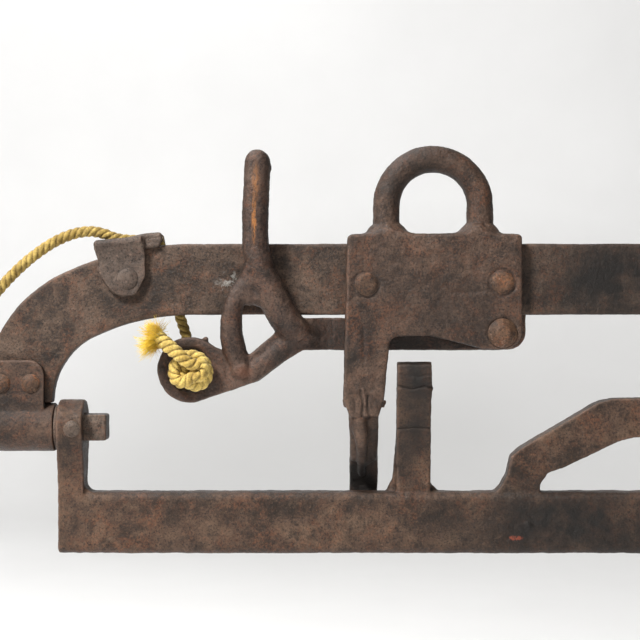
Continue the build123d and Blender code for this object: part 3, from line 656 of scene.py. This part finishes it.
def laid_rope(name, line, radius, material, sides=48, step=0.35 * MM, taper=None):
    """A closed tube with the twisted strands of a laid rope, and fine yarns on each strand."""
    line, marks = spaced(line, step)
    across, up = frames_along(line)
    angles = np.linspace(0, 2 * math.pi, sides, endpoint=False)
    points, faces = [], []
    for i, (centre, mark) in enumerate(zip(line, marks)):
        twist = 2 * math.pi * mark / LAY
        strand = np.abs(np.cos(STRANDS / 2 * (angles + twist)))
        yarn = np.cos(STRANDS * 7 * (angles - 2.2 * twist))
        fuzz = np.array([noise.noise(Vector((a * 1.3, mark * 900, 3.0))) for a in angles])
        r = radius * (0.74 + 0.29 * strand ** 0.6 + 0.025 * yarn + 0.05 * fuzz)
        if taper is not None:
            r = r * taper(mark / marks[-1])
        spokes = np.cos(angles)[:, None] * across[i] + np.sin(angles)[:, None] * up[i]
        points.extend(centre + r[:, None] * spokes)
    for i in range(len(line) - 1):
        for j in range(sides):
            k = (j + 1) % sides
            faces.append((i * sides + j, i * sides + k, (i + 1) * sides + k, (i + 1) * sides + j))
    faces.append(tuple(reversed(range(sides))))
    faces.append(tuple(range((len(line) - 1) * sides, len(line) * sides)))
    return mesh_object(name, points, faces, material), line


FREE_ROUTE = millimetres(
    (-160.0, 0.0, -18.6),
    (-169.5, 0.0, -18.6),
    (-181.0, 0.0, -13.4),
    (-193.5, -1.0, -14.4),
    (-208.0, -3.5, -21.5),
    (-225.0, -7.0, -36.0),
    (-242.0, -10.0, -57.0),
    (-255.0, -12.0, -84.0),
    (-262.0, -12.5, -116.0),
    (-264.0, -11.5, -150.0),
    (-262.0, -10.0, -186.0),
    (-263.5, -9.0, -222.0),
    (-263.0, -8.5, -257.0),
    (-264.5, -8.0, -290.0),
)
RUN_ROUTE = millimetres(
    (-160.0, 0.0, -18.6),
    (-153.8, 0.0, -18.6),
    (-148.6, 8.0, -17.0),
    (-146.8, 8.3, -28.0),
    (-143.2, 8.5, -42.5),
    (-137.8, 8.2, -58.5),
    (-133.6, 6.6, -70.5),
    (-131.2, 3.6, -81.5),
    (-130.4, -5.5, -88.0),
)

# the eye knot: the rope comes through the eye, rounds the knot and crosses its own front
KNOT_CENTRE = Vector((-129.4, -13.5, -88.6)) * MM
KNOT_TURNS = [
    (0.0, 0.0, -8.0), (-1.6, 1.0, -5.0), (-3.6, 2.4, -2.0), (-4.6, -1.6, -0.6), (-2.6, -5.8, 0.2),
    (2.4, -8.4, 0.8), (7.4, -6.0, 1.0), (8.9, -0.4, 1.0), (7.0, 5.4, 1.0), (1.6, 8.4, 1.0), (-4.6, 7.6, 1.0),
    (-8.8, 3.2, 1.0), (-9.0, -2.6, 1.8), (-6.2, -6.4, 3.6), (-1.4, -5.4, 5.4), (1.8, -2.2, 6.4),
    (5.4, -2.8, 6.2), (7.6, 0.6, 5.6), (5.8, 4.0, 5.8), (2.2, 3.4, 7.0), (-1.2, 4.8, 8.0), (-4.8, 8.0, 7.8),
    (-10.4, 12.8, 6.2), (-18.6, 19.0, 3.2),
]
KNOT_FLATTEN = 0.98
KNOT_ROPE_RADIUS = 3.3 * MM
TAIL_START = 0.82
TAIL_GROWTH = 0.28


def tail_taper(t):
    """The rope loosens and thickens towards its frayed end."""
    return 1.0 + TAIL_GROWTH * max(0.0, (t - TAIL_START) / (1 - TAIL_START)) ** 0.7


knot_points = [KNOT_CENTRE + Vector((x, -w, z * KNOT_FLATTEN)) * MM for x, z, w in KNOT_TURNS]
eye_knot, knot_line = laid_rope("eye_knot_rope", line_through("eye_knot_line", knot_points), KNOT_ROPE_RADIUS,
                                KNOT, taper=tail_taper)


def fray(name, root, out, clumps, count, reach, spread, seed):
    """Loose yellow yarns, in clumps that splay and curl out of the rope's cut end."""
    rng = random.Random(seed)
    out = Vector(out).normalized()
    side = out.cross(Vector((0, 1, 0))).normalized()
    lift = out.cross(side)
    points, faces = [], []
    steps, around = 7, 4

    def splay(way, most):
        turn = rng.uniform(0, 2 * math.pi)
        wide = most * math.sqrt(rng.random())
        aim = way + (side * math.cos(turn) + lift * math.sin(turn)) * wide
        aim.y *= 0.5
        return aim.normalized()

    for _ in range(clumps):
        clump_aim = splay(out, spread)
        clump_reach = reach * rng.uniform(0.75, 1.0)
        clump_root = root + (clump_aim - out) * 1.6 * MM
        clump_curl = Vector([rng.uniform(-1, 1) for _ in range(3)]) * 3.0 * MM
        for _ in range(count):
            aim = splay(clump_aim, 0.42)
            start = clump_root + Vector([rng.uniform(-1, 1) for _ in range(3)]) * 1.3 * MM
            curl = clump_curl + Vector([rng.uniform(-1, 1) for _ in range(3)]) * 3.4 * MM
            length = clump_reach * rng.uniform(0.5, 1.0)
            width = rng.uniform(0.14, 0.30) * MM
            first = len(points)
            for i in range(steps):
                t = i / (steps - 1)
                centre = start + aim * (length * t) + curl * (t * t) + Vector((0, 0, -1.6 * MM * t * t))
                thin = width * (1 - 0.65 * t)
                for j in range(around):
                    a = 2 * math.pi * j / around
                    points.append(centre + (side * math.cos(a) + lift * math.sin(a)) * thin)
            for i in range(steps - 1):
                for j in range(around):
                    k = (j + 1) % around
                    low, high = first + i * around, first + (i + 1) * around
                    faces.append((low + j, low + k, high + k, high + j))
            faces.append(tuple(first + j for j in reversed(range(around))))
            faces.append(tuple(first + (steps - 1) * around + j for j in range(around)))
    return mesh_object(name, points, faces, TUFT)


tail_end = Vector(knot_line[-1])
tail_way = Vector(knot_line[-1]) - Vector(knot_line[-12])
eye_fray = fray("eye_knot_fray", tail_end - tail_way.normalized() * 3 * MM, out=(-1, -0.1, 0.16), clumps=16,
                count=62, reach=11.6 * MM, spread=1.9, seed=11)
for piece, nodes in ((eye_knot, ["trip_rope_knot"]), (eye_fray, ["trip_rope_tail"])):
    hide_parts(*nodes)
    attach(piece, "trip_lever")

# the run from the guide, behind the bar, into the lever's eye
run_rope, run_line = laid_rope("trip_rope_run_laid", line_through("run_line", RUN_ROUTE), ROPE_RADIUS, ROPE)
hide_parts("trip_rope_run")
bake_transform(run_rope)

# the free end, over the shoulder and down outside the leg, to a stopper knot
free_rope, free_line = laid_rope("trip_rope_free_laid", line_through("free_line", FREE_ROUTE), ROPE_RADIUS,
                                 ROPE)
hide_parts("trip_rope_free")
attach(free_rope, "yoke")
STOPPER_CENTRE = Vector((-264.8, -8.0, -296.0)) * MM
STOPPER_TURNS = [
    (0.2, 6.0, 0.0), (-0.6, 2.0, 0.8), (-4.0, -1.6, 2.6), (-2.2, -4.6, 3.4), (3.0, -3.6, 3.0),
    (4.6, 0.6, 0.4), (1.6, 3.4, -3.0), (-3.0, 2.4, -3.8), (-4.6, -1.4, -2.0), (-1.4, -4.4, -1.0),
    (2.4, -3.0, -2.6), (2.2, 0.6, -1.0), (0.6, -3.0, 0.6), (0.4, -7.6, 0.0),
]
stopper_points = [STOPPER_CENTRE + Vector((x, -w, z)) * MM for x, z, w in STOPPER_TURNS]
stopper, _ = laid_rope("end_knot_rope", line_through("end_knot_line", stopper_points), ROPE_RADIUS, KNOT)
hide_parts("trip_rope_end_knot")
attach(stopper, "yoke")


# ------------------------------------------------------------------ stage, light and camera
def pale(name):
    """Pale paper with soft tonal drift, and painted soft shadows and shade behind and below the object."""
    n = Nodes(name)
    colour = n.ramp(n.noise(3.0, detail=3.0), (0.3, tone(240, 240, 240)), (0.7, tone(245, 245, 245)))
    # each patch is a painted shadow, mixed towards grey
    for centre, radii, strength in PAINTED_BACKDROP_SHADOWS:
        colour = n.mix(n.math("MULTIPLY", n.spot(centre, radii, 1.0), strength), colour, tone(176, 176, 175))
    n.link(colour, n.shader.inputs["Base Color"])
    n.shader.inputs["Roughness"].default_value = 0.9
    return n.material


# painted shadows of the object on the wall, and painted shade over the floor
PAINTED_BACKDROP_SHADOWS = [
    ((0.20, 2.3, -0.30), (0.85, 2.2, 0.50), 0.50),
    ((-0.35, 2.3, -0.42), (0.75, 1.6, 0.52), 0.52),
    ((0.05, 1.2, -0.42), (2.2, 2.0, 0.30), 0.16),
]


def backdrop():
    """A pale floor that sweeps up into a wall, well behind the yoke."""
    floor_z, wall_y, bend, half_width, steps = -0.42, 2.4, 0.6, 6.0, 12
    profile = [(-7.0, floor_z), (wall_y - bend, floor_z)]
    for i in range(1, steps + 1):
        a = math.pi / 2 * i / steps
        profile.append((wall_y - bend + bend * math.sin(a), floor_z + bend - bend * math.cos(a)))
    profile.append((wall_y, 2.6))
    points = [(x, y, z) for y, z in profile for x in (-half_width, half_width)]
    faces = [(2 * i, 2 * i + 1, 2 * i + 3, 2 * i + 2) for i in range(len(profile) - 1)]
    mesh_object("pale_sweep", points, faces, pale("pale_paper"))


def area_light(name, place, aim, size, power, colour=(1.0, 1.0, 1.0)):
    data = bpy.data.lights.new(name, "AREA")
    data.shape = "DISK"
    data.size = size
    data.energy = power
    data.color = colour
    obj = bpy.data.objects.new(name, data)
    obj.location = place
    obj.rotation_euler = (Vector(aim) - Vector(place)).to_track_quat("-Z", "Y").to_euler()
    bpy.context.scene.collection.objects.link(obj)


backdrop()
area_light("key", (-0.95, -0.85, 1.2), (-0.06, 0, -0.06), 0.4, 60.0, (1.0, 0.985, 0.96))
area_light("fill", (1.4, -1.8, 0.0), (-0.06, 0, -0.06), 1.6, 5.0)
area_light("rim", (-0.4, 0.7, 1.3), (-0.06, 0, -0.06), 0.8, 6.0)
area_light("wall_wash", (-0.8, 0.9, 1.7), (-0.1, 2.4, 0.2), 1.6, 19.5)

world = bpy.data.worlds.new("studio_world")
world.use_nodes = True
world.node_tree.nodes["Background"].inputs["Color"].default_value = (1.0, 1.0, 1.0, 1.0)
world.node_tree.nodes["Background"].inputs["Strength"].default_value = 0.17
scene = bpy.context.scene
scene.world = world
scene.view_settings.view_transform = "Standard"

PHOTO_CENTRE = Vector((-0.0610, 0.0, -0.0616))
CAMERA_DISTANCE = 0.8
VIEW_WIDTH = 0.3456
camera_data = bpy.data.cameras.new("camera")
camera_data.sensor_width = 36.0
camera_data.lens = 36.0 * CAMERA_DISTANCE / VIEW_WIDTH
camera = bpy.data.objects.new("camera", camera_data)
camera.location = PHOTO_CENTRE + Vector((0, -CAMERA_DISTANCE, 0))
camera.rotation_euler = (math.pi / 2, 0, 0)
scene.collection.objects.link(camera)
scene.camera = camera
